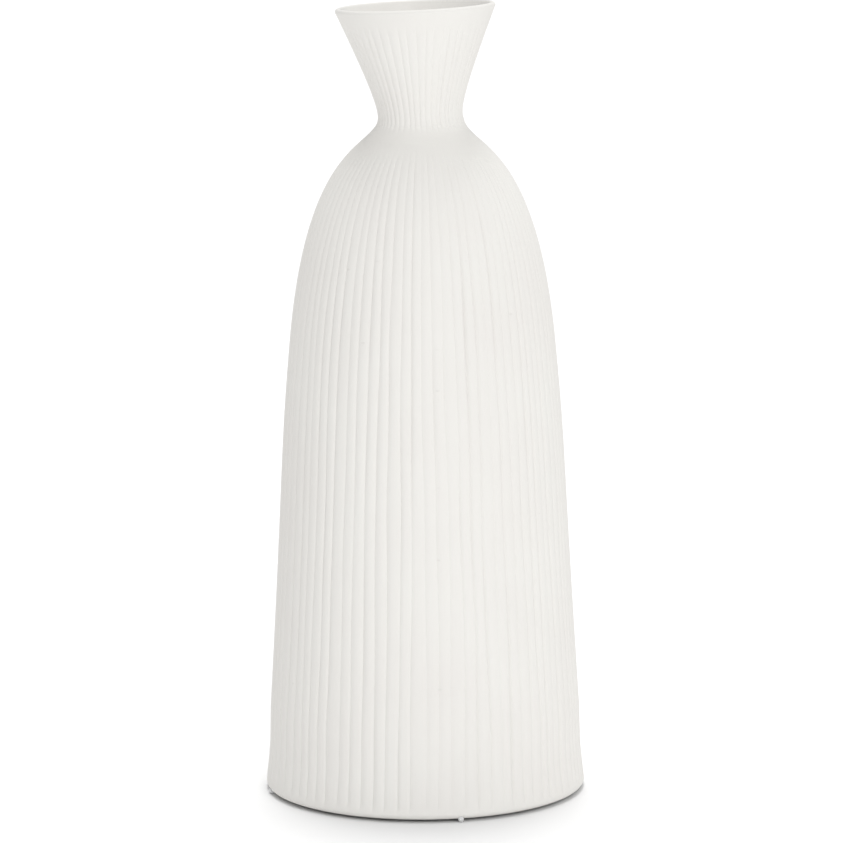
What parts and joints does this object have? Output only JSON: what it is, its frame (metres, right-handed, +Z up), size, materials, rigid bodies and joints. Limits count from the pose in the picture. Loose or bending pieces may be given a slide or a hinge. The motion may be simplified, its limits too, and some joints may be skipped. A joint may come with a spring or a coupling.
{
  "type": "bud vase",
  "caption": "Tall bell-shaped ceramic bud vase with combed upright ribs, a pinched waist and a flared neck that leans slightly, standing on clear bumper dots.",
  "frame": {"origin": "on the standing surface, under the middle of the foot", "axes": "+Z up along the axis of the body; -Y is the front, and the neck leans towards -X and a hair back"},
  "size_m": [0.1312, 0.1312, 0.3237],
  "materials": {
    "matte_ceramic": "matte warm white, combed ribs",
    "bare_ceramic": "bare fired clay, dry and slightly rough",
    "clear_rubber": "clear soft silicone"
  },
  "bodies": {
    "root": {"body_wall": "matte_ceramic", "neck": "matte_ceramic", "neck_seam_coil": "matte_ceramic", "floor_slab": "bare_ceramic", "foot_corner_coil": "bare_ceramic", "bumper_dot_1": "clear_rubber", "bumper_dot_2": "clear_rubber", "bumper_dot_3": "clear_rubber", "bumper_dot_4": "clear_rubber"}
  },
  "joints": []
}
